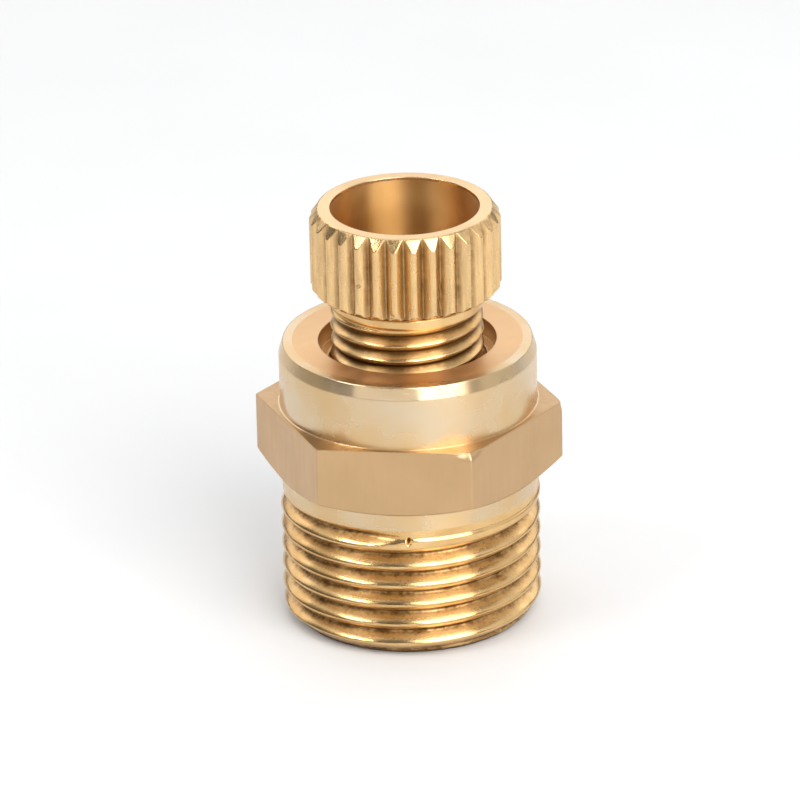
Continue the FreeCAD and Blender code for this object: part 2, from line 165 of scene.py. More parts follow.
# small knocks: each is its angle, height, width, length and depth
PIPE_DENTS = [
    (-84.5, 8.10, 0.08, 0.15, 0.85),
    (-38, 4.3, 0.30, 0.16, 0.14),
    (-141, 6.9, 0.34, 0.14, 0.12),
    (62, 2.8, 0.30, 0.15, 0.14),
]
HEX_DENTS = [
    (-60, 14.50, 0.65, 0.36, 0.34),
    (-120, 11.6, 0.16, 0.40, 0.05),
    (0, 14.3, 0.22, 0.30, 0.10),
    (120, 14.2, 0.30, 0.24, 0.12),
]
KNURL_DENTS = [
    (-113, 24.7, 0.22, 0.16, 0.22),
    (-62, 23.1, 0.16, 0.25, 0.20),
    (-61, 24.2, 0.12, 0.20, 0.16),
    (-63, 25.3, 0.14, 0.16, 0.14),
    (-92, 22.5, 0.20, 0.20, 0.15),
    (24, 25.1, 0.20, 0.18, 0.18),
    (131, 23.6, 0.24, 0.20, 0.20),
]

# inside of the vent screw
TIP_HOLE_R = 1.075
TIP_INSIDE_Z = 7.8
LOWER_BORE_R = 2.5
DISC_BORE_R = 3.4
DISC_BORE_FLOOR_Z = 11.2
SNAP_GROOVE_R = 3.7
SNAP_GROOVE_LOW_Z = 21.7
SNAP_GROOVE_TOP_Z = 22.35
CUP_R = 4.733
CUP_CONE_LOW_Z = 22.95
CUP_FLOOR_Z = 23.6

# seams, where one surface of a turned piece hands over to the next: before it and after it
END_SEAM = (0.20, 0.06)
COLLAR_SEAM = (0.50, 0.60)
MOUTH_SEAM = (0.20, 0.15)
RIM_SEAM = (0.16, 0.20)
NOSE_SEAM = (0.60, 0.50)
THREAD_SEAM = 0.10

# how finely the turned pieces are cut
AROUND = 720
PIPE_ROWS = 150
INSIDE_THREAD_ROWS = 66
STEM_ROWS = 150

# how far the corners of each turned surface are eased
EDGE = 0.06
COLLAR_EDGE = 0.07
MOUTH_EDGE = 0.08
RIM_EDGE = 0.10

# how much of a short side an eased corner may take, and how far out its guard points stand
CORNER_SHARE = 0.32
GUARD_REACH = 1.35

# rows of the knurl: lowest, highest and how many, dense at the two chamfers
KNURL_ROWS = [
    (HEAD_LOW_Z, HEAD_LOW_Z + 0.45, 10),
    (HEAD_LOW_Z + 0.7, HEAD_TOP_CHAMFER_Z - 0.3, 16),
    (HEAD_TOP_CHAMFER_Z - 0.15, HEAD_TOP_Z - 0.05, 26),
]

# rows of the hexagon's underside: radius and height
HEX_UNDER_ROWS = (
    (NECK_R + 0.03, HEX_BOTTOM_Z),
    (HEX_FLAT_R - 0.12, HEX_BOTTOM_Z),
    (HEX_FLAT_R - 0.04, HEX_BOTTOM_Z + 0.005),
)

# rows of its cone and sides, as shares of their height
HEX_CONE_SHARES = (0.15, 0.4, 0.7, 0.9)
HEX_SIDE_SHARES = (0.25, 0.5, 0.75)

# how far inside and above the true cone its rows lie
HEX_CONE_INSET = 0.02
HEX_CONE_LIFT = 0.01

# rows of the low edge: how far inward and upward
HEX_LOW_EDGE_LIFT = 0.02
HEX_LOW_EDGE_STEPS = ((0.10, -0.03), (0.05, 0.0), (0.015, 0.02), (0.0, 0.06), (0.0, 0.12))

# rows that carry the knocks: how far below the top
HEX_DENT_ROWS = (0.9, 0.7, 0.5, 0.35, 0.2)

# rows of the top edge: how many widths of its wear inward and downward
HEX_TOP_EDGE_STEPS = ((0.0, 2.0), (0.0, 1.0), (0.25, 0.3), (1.0, 0.0), (1.9, 0.0))

# what keeps each random pattern the same in every run
PIPE_SEED = 3
STEM_SEED = 5
KNURL_SEED = 7
HEX_SEED = 11

# ---------------------------------------------------------------- small tools


def smooth_min(a, b, blend):
    """The lower of two surfaces, with the corner between them eased over blend."""
    h = np.clip(0.5 + 0.5 * (b - a) / blend, 0, 1)
    return b * (1 - h) + a * h - blend * h * (1 - h)


def smooth_max(a, b, blend):
    """The higher of two surfaces, eased in the same way."""
    return -smooth_min(-a, -b, blend)


def fade(x, low, high):
    """0 below low, 1 above high, and smooth between."""
    t = np.clip((x - low) / (high - low), 0, 1)
    return t * t * (3 - 2 * t)


def ring_noise(angle, seed, strength, waves=9):
    """A small wander around the circle that closes on itself."""
    rng = np.random.default_rng(seed)
    total = np.zeros_like(angle)
    for k in range(1, waves + 1):
        total = total + rng.normal() / k * np.sin(k * angle + rng.uniform(0, 2 * math.pi))
    return strength * total


def eased(points, edge=EDGE, steps=3):
    """A profile of (radius, height) points with each inner corner eased by a short curve.

    A guard point stands on both sides of each curve, which keeps the flats flat in the light.
    """
    out = [points[0]]
    for before, here, after in zip(points, points[1:], points[2:]):
        a = np.array(before, float)
        b = np.array(here, float)
        c = np.array(after, float)
        to_a, to_c = a - b, c - b
        reach = min(edge, CORNER_SHARE * np.linalg.norm(to_a), CORNER_SHARE * np.linalg.norm(to_c))
        start = b + to_a / np.linalg.norm(to_a) * reach
        end = b + to_c / np.linalg.norm(to_c) * reach
        out.append(tuple(b + to_a / np.linalg.norm(to_a) * reach * GUARD_REACH))
        for i in range(steps + 1):
            t = i / steps
            out.append(tuple((1 - t) ** 2 * start + 2 * t * (1 - t) * b + t * t * end))
        out.append(tuple(b + to_c / np.linalg.norm(to_c) * reach * GUARD_REACH))
    out.append(points[-1])
    return out


class Skin:
    """Rows of a closed turned skin: each row is a ring whose radius and height may vary around it."""

    def __init__(self, start_angle=0.0):
        self.angle = math.radians(start_angle) + np.arange(AROUND) * 2 * math.pi / AROUND
        self.radii = []
        self.heights = []
        self.finishes = []

    def ring(self, radius, height, finish):
        self.radii.append(np.broadcast_to(radius, (AROUND,)).astype(float))
        self.heights.append(np.broadcast_to(height, (AROUND,)).astype(float))
        self.finishes.append(finish)

    def profile(self, points, finish):
        for radius, height in points:
            self.ring(radius, height, finish)

    def build(self, name, materials, closed=True):
        """The mesh object. A face takes the finish of the row it starts from."""
        rows = len(self.radii)
        radii = np.array(self.radii)
        heights = np.array(self.heights)
        co = np.stack([radii * np.cos(self.angle), radii * np.sin(self.angle), heights], axis=-1)
        i = np.arange(AROUND)
        faces = []
        slots = []
        for row in range(rows if closed else rows - 1):
            low = row * AROUND
            high = ((row + 1) % rows) * AROUND
            after = (i + 1) % AROUND
            quads = np.stack([low + i, low + after, high + after, high + i], axis=-1)
            faces.append(quads)
            slots.append(np.full(AROUND, self.finishes[row]))
        faces = np.concatenate(faces)
        mesh = bpy.data.meshes.new(name)
        mesh.from_pydata((co.reshape(-1, 3) * MM).tolist(), [], faces.tolist())
        for material in materials:
            mesh.materials.append(material)
        mesh.polygons.foreach_set("material_index", np.concatenate(slots).astype(np.int32))
        mesh.polygons.foreach_set("use_smooth", np.ones(len(faces), bool))
        mesh.update()
        piece = bpy.data.objects.new(name, mesh)
        bpy.context.scene.collection.objects.link(piece)
        return piece


# ---------------------------------------------------------------- shapes that vary around the axis


def pipe_thread_radius(angle, z):
    """Radius of the pipe thread's surface, with rounded crests and roots and a fading last turn."""
    around = angle / (2 * math.pi)
    turn = np.round((z - PIPE_GROOVE_START_Z) / PIPE_PITCH - around)
    centre = PIPE_GROOVE_START_Z + (turn + around) * PIPE_PITCH
    away = np.hypot(z - centre, PIPE_ROOT_ROUND) - PIPE_ROOT_ROUND / 2
    flank = PIPE_ROOT_R + away / math.tan(math.radians(PIPE_HALF_ANGLE))
    flank = flank + PIPE_FADE_LIFT * fade(centre, *PIPE_FADE_Z)
    return smooth_min(flank, np.full_like(flank, PIPE_CREST_R), PIPE_CREST_ROUND)


def stem_thread_radius(angle, z):
    """Radius of the screw's thread, with rounded crests and roots."""
    around = angle / (2 * math.pi)
    turn = np.round((z - STEM_CREST_Z) / STEM_PITCH - around)
    away = np.abs(z - (STEM_CREST_Z + (turn + around) * STEM_PITCH))
    flank = STEM_CREST_R + (STEM_CREST_FLAT / 2 - away) / math.tan(math.radians(THREAD_HALF_ANGLE))
    flank = flank + STEM_FADE_LIFT * fade(z, *STEM_FADE_Z)
    flank = smooth_min(flank, np.full_like(flank, STEM_CREST_R), STEM_CREST_ROUND)
    return smooth_max(flank, np.full_like(flank, STEM_ROOT_R), STEM_ROOT_ROUND)


def body_thread_radius(angle, z):
    """Radius of the inside thread, in step with the screw's."""
    around = angle / (2 * math.pi)
    turn = np.round((z - STEM_CREST_Z) / STEM_PITCH - around)
    away = np.abs(z - (STEM_CREST_Z + (turn + around) * STEM_PITCH))
    tip_r = BODY_THREAD_MAJOR_R + BODY_THREAD_PAST_MAJOR
    flank = tip_r - (away - BODY_THREAD_HALF_FLAT) / math.tan(math.radians(THREAD_HALF_ANGLE))
    flank = smooth_min(flank, np.full_like(flank, BODY_THREAD_MAJOR_R), BODY_THREAD_MAJOR_ROUND)
    return smooth_max(flank, np.full_like(flank, BODY_THREAD_MINOR_R), BODY_THREAD_MINOR_ROUND)


def hexagon_radius(angle):
    """Distance from the axis to the hexagon's side, with its corners slightly rounded."""
    facing = 0.2
    far_off = 100
    distances = []
    for i in range(HEX_SIDES):
        normal = math.radians(HEX_FIRST_ANGLE + 360 / HEX_SIDES * i)
        cosine = np.cos(angle - normal)
        distances.append(np.where(cosine > facing, HEX_FLAT_R / np.maximum(cosine, facing), far_off))
    distances = np.sort(np.array(distances), axis=0)
    return smooth_min(distances[0], distances[1], HEX_CORNER_ROUND)


def dents(angle, z, radius, marks):
    """How far small knocks push the surface in."""
    total = np.zeros_like(angle)
    for mark_angle, mark_z, width, length, depth in marks:
        turn = (angle - math.radians(mark_angle) + math.pi) % (2 * math.pi) - math.pi
        total = total + depth * np.exp(-(turn * radius / width) ** 2 - ((z - mark_z) / length) ** 2)
    return total


def knurl_radius(angle, z):
    """Radius of the straight knurl: V-grooves between narrow crests, each a little different."""
    step = 2 * math.pi / KNURL_COUNT
    place = (angle - math.radians(KNURL_PHASE)) / step
    groove = np.round(place)
    rng = np.random.default_rng(KNURL_SEED)
    depth_of = rng.uniform(KNURL_SHALLOWEST, 1.0, KNURL_COUNT)
    shift_of = rng.normal(0, KNURL_SHIFT, KNURL_COUNT)
    index = groove.astype(int) % KNURL_COUNT
    away = np.abs(place - groove - shift_of[index])
    away = np.sqrt(away ** 2 + KNURL_GROOVE_ROUND ** 2) - KNURL_GROOVE_ROUND
    depth = KNURL_DEPTH * depth_of[index]
    wall = HEAD_R - depth + depth * away / KNURL_GROOVE_SHARE
    wall = smooth_min(wall, np.full_like(wall, HEAD_R), KNURL_CREST_ROUND)
    return wall - dents(angle, z, HEAD_R, KNURL_DENTS)


# ---------------------------------------------------------------- the two turned brass pieces

BODY_THREAD, BODY_HEX, BODY_COLLAR, BODY_TOP, BODY_INSIDE = range(5)


def thread_rows(skin, finish):
    """The threaded end, from its flat end face up to the plain neck."""
    for z in np.linspace(0, PIPE_TOP_Z + PIPE_ROWS_PAST_TOP, PIPE_ROWS):
        chamfer_r = PIPE_END_R + (PIPE_CREST_R - PIPE_END_R) * min(z / PIPE_END_CHAMFER, 1.0)
        into_neck = fade(z, PIPE_TOP_Z - PIPE_BLEND_BELOW, PIPE_TOP_Z + PIPE_BLEND_ABOVE)
        neck_r = NECK_R + (PIPE_CREST_R - NECK_R) * (1 - into_neck)
        radius = pipe_thread_radius(skin.angle, np.full(AROUND, z))
        radius = smooth_min(radius, np.full(AROUND, chamfer_r), PIPE_END_ROUND)
        radius = smooth_min(radius, np.full(AROUND, neck_r), PIPE_NECK_ROUND)
        ripple = PIPE_RIPPLE * np.sin(PIPE_RIPPLE_WAVES * skin.angle + PIPE_RIPPLE_LEAN * z)
        wander = ring_noise(skin.angle, PIPE_SEED, PIPE_WANDER) + ripple
        knocks = dents(skin.angle, z, PIPE_CREST_R, PIPE_DENTS)
        skin.ring(radius - np.abs(wander) - knocks, z, finish)


def hexagon_rows(skin, finish):
    """The hexagon: cone underneath, six flats, and a crisp flat top."""
    side = hexagon_radius(skin.angle)
    corner = np.maximum(side - HEX_FLAT_R, 0)
    cone_z = HEX_BOTTOM_Z + corner * HEX_CONE_SLOPE
    wear = HEX_WEAR + np.abs(ring_noise(skin.angle, HEX_SEED, HEX_WEAR_DRIFT))
    skin.profile(HEX_UNDER_ROWS, finish)
    for share in HEX_CONE_SHARES:
        radius = HEX_FLAT_R + corner * share - HEX_CONE_INSET
        height = HEX_BOTTOM_Z + (cone_z - HEX_BOTTOM_Z) * share + HEX_CONE_LIFT
        skin.ring(radius, height, finish)
    for inward, upward in HEX_LOW_EDGE_STEPS:
        skin.ring(side - inward, cone_z + upward + HEX_LOW_EDGE_LIFT, finish)
    for share in HEX_SIDE_SHARES:
        skin.ring(side, cone_z + (HEX_TOP_Z - cone_z) * share, finish)
    for downward in HEX_DENT_ROWS:
        knocks = dents(skin.angle, HEX_TOP_Z - downward, HEX_FLAT_R, HEX_DENTS)
        skin.ring(side - knocks, HEX_TOP_Z - downward, finish)
    knocks = dents(skin.angle, HEX_TOP_Z, HEX_FLAT_R, HEX_DENTS)
    for inward, downward in HEX_TOP_EDGE_STEPS:
        skin.ring(side - knocks - inward * wear, HEX_TOP_Z - downward * wear, finish)


def inside_thread_rows(skin, finish):
    """The body's inside thread, from the mouth's floor down to its relief."""
    for z in np.linspace(MOUTH_FLOOR_Z, THREAD_RELIEF_TOP_Z, INSIDE_THREAD_ROWS):
        radius = body_thread_radius(skin.angle, np.full(AROUND, z))
        mouth_r = BODY_THREAD_MAJOR_R - max(MOUTH_FLOOR_Z - z, 0)
        skin.ring(smooth_max(radius, np.full(AROUND, mouth_r), BODY_THREAD_MOUTH_ROUND), z, finish)


def valve_body(materials):
    """The body as one closed skin."""
    skin = Skin()
    skin.profile(eased([
        (ORIFICE_R, ORIFICE_SEAM_LOW_Z),
        (ORIFICE_R, INLET_POCKET_TOP_Z),
        (INLET_POCKET_R, INLET_POCKET_TOP_Z),
        (INLET_POCKET_R, STRAINER_TOP_Z),
        (INLET_RECESS_R, STRAINER_TOP_Z),
        (INLET_RECESS_R, RING_GROOVE_TOP_Z),
        (RING_GROOVE_R, RING_GROOVE_TOP_Z),
        (RING_GROOVE_R, RING_GROOVE_LOW_Z),
        (INLET_RECESS_R, RING_GROOVE_LOW_Z),
        (INLET_RECESS_R, 0.0),
        (PIPE_END_R - END_SEAM[0], 0.0),
    ]), BODY_INSIDE)
    skin.ring(PIPE_END_R - END_SEAM[1], 0.0, BODY_THREAD)
    thread_rows(skin, BODY_THREAD)
    skin.profile([(NECK_R, z) for z in NECK_ROWS_Z], BODY_COLLAR)
    fillet_out, fillet_z = NECK_FILLET
    skin.ring(NECK_R + fillet_out, fillet_z, BODY_COLLAR)
    hexagon_rows(skin, BODY_HEX)
    skin.profile(eased([
        (COLLAR_R + COLLAR_FOOT_OUT, HEX_TOP_Z),
        (COLLAR_R, HEX_TOP_Z + COLLAR_FOOT_UP),
        (COLLAR_R, COLLAR_CHAMFER_Z),
        (COLLAR_TOP_R, COLLAR_TOP_Z),
        (COLLAR_TOP_R - COLLAR_SEAM[0], COLLAR_TOP_Z),
    ], COLLAR_EDGE), BODY_COLLAR)
    skin.profile(eased([
        (COLLAR_TOP_R - COLLAR_SEAM[1], COLLAR_TOP_Z),
        (MOUTH_R, COLLAR_TOP_Z),
        (MOUTH_R, MOUTH_FLOOR_Z + MOUTH_SEAM[0]),
    ], MOUTH_EDGE), BODY_TOP)
    skin.profile(eased([
        (MOUTH_R, MOUTH_FLOOR_Z + MOUTH_SEAM[1]),
        (MOUTH_R, MOUTH_FLOOR_Z),
        (BODY_THREAD_MAJOR_R + THREAD_SEAM, MOUTH_FLOOR_Z),
    ]), BODY_INSIDE)
    inside_thread_rows(skin, BODY_INSIDE)
    skin.profile(eased([
        (BODY_THREAD_MINOR_R + THREAD_SEAM, THREAD_RELIEF_TOP_Z),
        (THREAD_RELIEF_R, THREAD_RELIEF_TOP_Z),
        (THREAD_RELIEF_R, BORE_TOP_Z),
        (BORE_R, BORE_TOP_Z),
        (BORE_R, WEB_TOP_Z),
        (SEAT_LIP_FOOT_R, WEB_TOP_Z),
        (SEAT_LIP_FLAT_R, SEAT_LIP_TOP_Z),
        (ORIFICE_R, SEAT_LIP_TOP_Z),
        (ORIFICE_R, ORIFICE_SEAM_TOP_Z),
    ]), BODY_INSIDE)
    return skin.build("valve_body_turned", materials)


SCREW_THREAD, SCREW_KNURL, SCREW_RIM, SCREW_CUP, SCREW_INSIDE = range(5)


def stem_rows(skin, finish):
    """The screw's threaded length, with a lead-in at its lower end."""
    wander = np.abs(ring_noise(skin.angle, STEM_SEED, STEM_WANDER))
    for z in np.linspace(STEM_THREAD_LOW_Z + STEM_FIRST_ROW_UP, STEM_THREAD_TOP_Z, STEM_ROWS):
        lead_in = min(PILOT_R + (z - STEM_THREAD_LOW_Z), STEM_CREST_R)
        tail = min(STEM_CREST_R, STEM_CREST_R - STEM_TAIL_CHAMFER + (STEM_THREAD_TOP_Z - z))
        radius = stem_thread_radius(skin.angle, np.full(AROUND, z))
        radius = smooth_min(radius, np.full(AROUND, min(lead_in, tail)), STEM_TIP_ROUND)
        skin.ring(radius - wander, z, finish)


def knurl_rows(skin, finish):
    """The knurled grip, chamfered lightly underneath and deep at the top."""
    slope = (HEAD_R - HEAD_RIM_R) / (HEAD_TOP_Z - HEAD_TOP_CHAMFER_Z)
    for z in np.concatenate([np.linspace(*span) for span in KNURL_ROWS]):
        low = HEAD_R - HEAD_LOW_CHAMFER + (z - HEAD_LOW_Z)
        high = HEAD_R - slope * (z - HEAD_TOP_CHAMFER_Z)
        radius = knurl_radius(skin.angle, z)
        radius = smooth_min(radius, np.full(AROUND, min(low, high)), HEAD_CHAMFER_ROUND)
        skin.ring(radius, z, finish)


def vent_screw(materials):
    """The hollow knurled screw as one closed skin."""
    skin = Skin(KNURL_PHASE)
    skin.profile(eased([
        (TIP_HOLE_R, NOSE_BOTTOM_Z + NOSE_SEAM[1]),
        (TIP_HOLE_R, NOSE_BOTTOM_Z),
        (NOSE_R, NOSE_BOTTOM_Z),
        (NOSE_R, NOSE_TOP_Z - NOSE_CHAMFER),
        (PILOT_R, NOSE_TOP_Z),
        (PILOT_R, O_RING_GROOVE_LOW_Z),
        (O_RING_GROOVE_R, O_RING_GROOVE_LOW_Z),
        (O_RING_GROOVE_R, O_RING_GROOVE_TOP_Z),
        (PILOT_R, O_RING_GROOVE_TOP_Z),
        (PILOT_R, STEM_THREAD_LOW_Z),
    ]), SCREW_INSIDE)
    stem_rows(skin, SCREW_THREAD)
    skin.profile(eased([
        (STEM_NECK_R + STEM_FOOT_OUT, STEM_THREAD_TOP_Z),
        (STEM_NECK_R, STEM_THREAD_TOP_Z + STEM_FOOT_UP),
        (STEM_NECK_R, HEAD_LOW_Z),
        (UNDER_HEAD_R, HEAD_LOW_Z),
    ]), SCREW_THREAD)
    knurl_rows(skin, SCREW_KNURL)
    skin.profile(eased([
        (HEAD_RIM_R - RIM_START[0], HEAD_TOP_Z - RIM_START[1]),
        (HEAD_RIM_R - RIM_CORNER_IN, HEAD_TOP_Z),
        (CUP_R, HEAD_TOP_Z),
        (CUP_R, HEAD_TOP_Z - RIM_SEAM[0]),
    ], RIM_EDGE), SCREW_RIM)
    skin.profile(eased([
        (CUP_R, HEAD_TOP_Z - RIM_SEAM[1]),
        (CUP_R, CUP_FLOOR_Z),
        (DISC_BORE_R, CUP_CONE_LOW_Z),
        (DISC_BORE_R, SNAP_GROOVE_TOP_Z),
        (SNAP_GROOVE_R, SNAP_GROOVE_TOP_Z),
        (SNAP_GROOVE_R, SNAP_GROOVE_LOW_Z),
        (DISC_BORE_R, SNAP_GROOVE_LOW_Z),
        (DISC_BORE_R, DISC_BORE_FLOOR_Z),
        (LOWER_BORE_R, DISC_BORE_FLOOR_Z),
        (LOWER_BORE_R, TIP_INSIDE_Z),
        (TIP_HOLE_R, TIP_INSIDE_Z),
        (TIP_HOLE_R, NOSE_BOTTOM_Z + NOSE_SEAM[0]),
    ]), SCREW_CUP)
    return skin.build("vent_screw_turned", materials)


# ---------------------------------------------------------------- materials


class Nodes:
    """A short way to write a procedural material."""

    def __init__(self, name):
        self.material = bpy.data.materials.new(name)
        self.material.use_nodes = True
        self.tree = self.material.node_tree
        self.shader = self.tree.nodes["Principled BSDF"]

    def add(self, kind, **settings):
        node = self.tree.nodes.new(kind)
        for key, value in settings.items():
            setattr(node, key, value)
        return node

    def link(self, out, into):
        self.tree.links.new(out, into)

    def place(self):
        """Position on the piece, in metres, the same in every pose."""
        return self.add("ShaderNodeTexCoord").outputs["Object"]

    def maths(self, operation, a, b=None):
        node = self.add("ShaderNodeMath", operation=operation)
        for socket, value in zip(node.inputs, (a, b)):
            if value is None:
                continue
            if isinstance(value, (int, float)):
                socket.default_value = value
            else:
                self.link(value, socket)
        return node.outputs[0]

    def radius(self):
        """Distance from the part's axis, in millimetres."""
        flat = self.add("ShaderNodeVectorMath", operation="MULTIPLY")
        flat.inputs[1].default_value = (1 / MM, 1 / MM, 0)
        self.link(self.place(), flat.inputs[0])
        length = self.add("ShaderNodeVectorMath", operation="LENGTH")
        self.link(flat.outputs[0], length.inputs[0])
        return length.outputs["Value"]

    def height(self):
        """Height above the threaded end, in millimetres."""
        split = self.add("ShaderNodeSeparateXYZ")
        self.link(self.place(), split.inputs[0])
        return self.maths("MULTIPLY", split.outputs["Z"], 1 / MM)

    def lathe_place(self, across, along):
        """A place that changes fast along the profile and hardly at all around the axis."""
        split = self.add("ShaderNodeSeparateXYZ")
        self.link(self.place(), split.inputs[0])
        join = self.add("ShaderNodeCombineXYZ")
        self.link(self.maths("MULTIPLY", self.radius(), across), join.inputs[0])
        self.link(self.maths("MULTIPLY", self.height(), across), join.inputs[1])
        around = self.maths("ARCTAN2", split.outputs["Y"], split.outputs["X"])
        self.link(self.maths("MULTIPLY", around, along), join.inputs[2])
        return join.outputs[0]

    def noise(self, scale, detail=3.0, roughness=0.55, place=None, stretch=None):
        node = self.add("ShaderNodeTexNoise")
        node.inputs["Scale"].default_value = scale
        node.inputs["Detail"].default_value = detail
        node.inputs["Roughness"].default_value = roughness
        source = place or self.place()
        if stretch:
            scaled = self.add("ShaderNodeVectorMath", operation="MULTIPLY")
            scaled.inputs[1].default_value = stretch
            self.link(source, scaled.inputs[0])
            source = scaled.outputs[0]
        self.link(source, node.inputs["Vector"])
        return node.outputs["Fac"]

    def ramp(self, value, stops):
        node = self.add("ShaderNodeValToRGB")
        elements = node.color_ramp.elements
        while len(elements) < len(stops):
            elements.new(0.5)
        for element, (position, colour) in zip(elements, stops):
            element.position = position
            element.color = (*colour, 1) if len(colour) == 3 else colour
        self.link(value, node.inputs[0])
        return node.outputs[0]

    def remap(self, value, low, high, to_low, to_high):
        node = self.add("ShaderNodeMapRange")
        node.inputs["From Min"].default_value = low
        node.inputs["From Max"].default_value = high
        node.inputs["To Min"].default_value = to_low
        node.inputs["To Max"].default_value = to_high
        self.link(value, node.inputs["Value"])
        return node.outputs[0]

    def mix(self, share, a, b):
        node = self.add("ShaderNodeMix", data_type="RGBA")
        sockets = (node.inputs["Factor"], node.inputs["A"], node.inputs["B"])
        for socket, value in zip(sockets, (share, a, b)):
            if isinstance(value, (int, float)):
                socket.default_value = value
            elif isinstance(value, tuple):
                socket.default_value = (*value, 1)
            else:
                self.link(value, socket)
        return node.outputs["Result"]

    def bump(self, value, strength, distance, under=None):
        node = self.add("ShaderNodeBump")
        node.inputs["Strength"].default_value = strength
        node.inputs["Distance"].default_value = distance
        self.link(value, node.inputs["Height"])
        if under:
            self.link(under, node.inputs["Normal"])
        return node.outputs[0]

    def lathe_grain(self, amount):
        """Spreads highlights along the axis, as fine turning marks do."""
        tangent = self.add("ShaderNodeTangent", direction_type="RADIAL", axis="Z")
        self.link(tangent.outputs[0], self.shader.inputs["Tangent"])
        self.shader.inputs["Anisotropic"].default_value = amount
        self.shader.inputs["Anisotropic Rotation"].default_value = 0.25

    def finish(self, colour, roughness, normal=None, metallic=1.0):
        self.link(colour, self.shader.inputs["Base Color"])
        self.link(roughness, self.shader.inputs["Roughness"])
        if normal:
            self.link(normal, self.shader.inputs["Normal"])
        self.shader.inputs["Metallic"].default_value = metallic
        return self.material


# colours of clean metal, brass whose gold is deepened with painted reflection, dirt that carries painted
# shade, rubber, steel, fibre and floor
BRASS_LIGHT = (0.70, 0.49, 0.26)
BRASS = (0.62, 0.41, 0.20)
BRASS_DEEP = (0.50, 0.30, 0.12)
RIM_LIGHT = (0.78, 0.54, 0.29)
HEX_LIGHT = (0.58, 0.38, 0.205)
HEX_DEEP = (0.53, 0.345, 0.18)
BRASS_GREY = (0.66, 0.52, 0.35)
THREAD_LIGHT = (0.78, 0.52, 0.24)
THREAD_DEEP = (0.60, 0.36, 0.14)
# painted shade: these two dark colours darken the thread roots and the knurl grooves, standing for dirt
# and also for the shade that falls in them
ROOT_GRIME_AND_SHADE = (0.16, 0.075, 0.020)
GROOVE_DIRT_AND_SHADE = (0.19, 0.10, 0.035)
# painted reflection: the mouth and cup colours are a more saturated gold than the other brass, partly
# the brass itself and partly light bounced between brass faces
MOUTH_ORANGE_AND_REFLECTION = (0.78, 0.50, 0.26)
MOUTH_BROWN_AND_REFLECTION = (0.62, 0.38, 0.18)
CUP_GOLD_AND_REFLECTION = (0.73, 0.44, 0.17)
CUP_BROWN_AND_REFLECTION = (0.60, 0.33, 0.105)
STEEL_LIGHT = (0.66, 0.66, 0.64)
STEEL_DEEP = (0.50, 0.50, 0.49)
OILED_LIGHT = (0.24, 0.24, 0.25)
OILED_DEEP = (0.10, 0.10, 0.11)
FIBRE_LIGHT = (0.70, 0.58, 0.40)
FIBRE_DEEP = (0.42, 0.31, 0.18)
FLOOR_LIGHT = (0.755, 0.76, 0.765)
FLOOR_DEEP = (0.735, 0.74, 0.745)

# how fine each pattern is, in cells to the metre; three numbers are for x, y and z
STAIN = 300.0
FINE_GRAIN = 2600.0
THREAD_BLOTCH = 900.0
THREAD_SPECKLE = 4200.0
THREAD_DRIFT = 380.0
KNURL_BLOTCH = 1100.0
KNURL_STREAK = (3400, 3400, 420)
DRAWN_STREAK = (2600, 2600, 260)
DRAWN_CLOUD = 260.0
ROLLED_GRAIN = (300, 5200, 300)
OIL_PATCH = 1500.0
RUBBER_GRAIN = 5200.0
FIBRES = (3800, 3800, 1500)
FLOOR_GRAIN = 60.0

# how much a cut thread's blotches and specks move its line of dirt and painted shade
BLOTCH_REACH = 0.16
SPECKLE_REACH = 0.09

# rings left by the cutting tool: how close along the profile, and how much they change around it
TURNED_RINGS = (14.0, 0.35)
THREAD_RINGS = (11.0, 0.5)
RING_SHARE = 0.12

# where most values of a noise pattern lie
NOISE_SPAN = (0.3, 0.7)

# heights of surface marks, in metres
FINE_MARK = 0.00002
MIDDLE_MARK = 0.00003
COARSE_MARK = 0.00004
FIBRE_MARK = 0.00005


def turned_brass(name, light, deep, rough=(0.22, 0.33), line_strength=0.08, grain=0.8):
    """Bare brass with fine rings from the tool, faint stains and small colour drift."""
    n = Nodes(name)
    n.lathe_grain(grain)
    rings = n.noise(1.0, 2.0, 0.6, place=n.lathe_place(*TURNED_RINGS))
    stain = n.noise(STAIN, 2.0, 0.5)
    colour = n.ramp(stain, [(0.30, deep), (0.62, light)])
    faint_rings = n.maths("MULTIPLY", rings, RING_SHARE)
    roughness = n.remap(n.maths("ADD", faint_rings, stain), 0.41, 0.71, *rough)
    normal = n.bump(rings, line_strength, FINE_MARK)
    return n.finish(colour, roughness, n.bump(n.noise(FINE_GRAIN), 0.02, FINE_MARK, normal))


def thread_brass(name, root, crest, mottle=1.0):
    """Cut thread: bright crests, and oil, dirt and painted shade that darken towards the root."""
    n = Nodes(name)
    n.lathe_grain(0.6)
    blotch = n.noise(THREAD_BLOTCH, 4.0, 0.65)
    speckle = n.noise(THREAD_SPECKLE, 2.0, 0.5)
    level = n.remap(n.radius(), root, crest, 0.0, 1.0)
    for pattern, reach in ((blotch, BLOTCH_REACH * mottle), (speckle, SPECKLE_REACH * mottle)):
        level = n.maths("ADD", level, n.remap(pattern, *NOISE_SPAN, -reach, reach))
    metal = n.ramp(n.noise(THREAD_DRIFT), [(0.3, THREAD_DEEP), (0.65, THREAD_LIGHT)])
    # painted shade: the roots are mixed towards the dark grime colour, which stands for dirt and for the
    # shade in the grooves
    colour = n.mix(n.remap(level, 0.10, 0.48, 0.0, 1.0), ROOT_GRIME_AND_SHADE, metal)
    roughness = n.remap(level, 0.0, 1.0, 0.42, 0.20)
    rings = n.noise(1.0, 2.0, 0.6, place=n.lathe_place(*THREAD_RINGS))
    normal = n.bump(rings, 0.22, MIDDLE_MARK)
    return n.finish(colour, roughness, n.bump(blotch, 0.18, COARSE_MARK, normal))


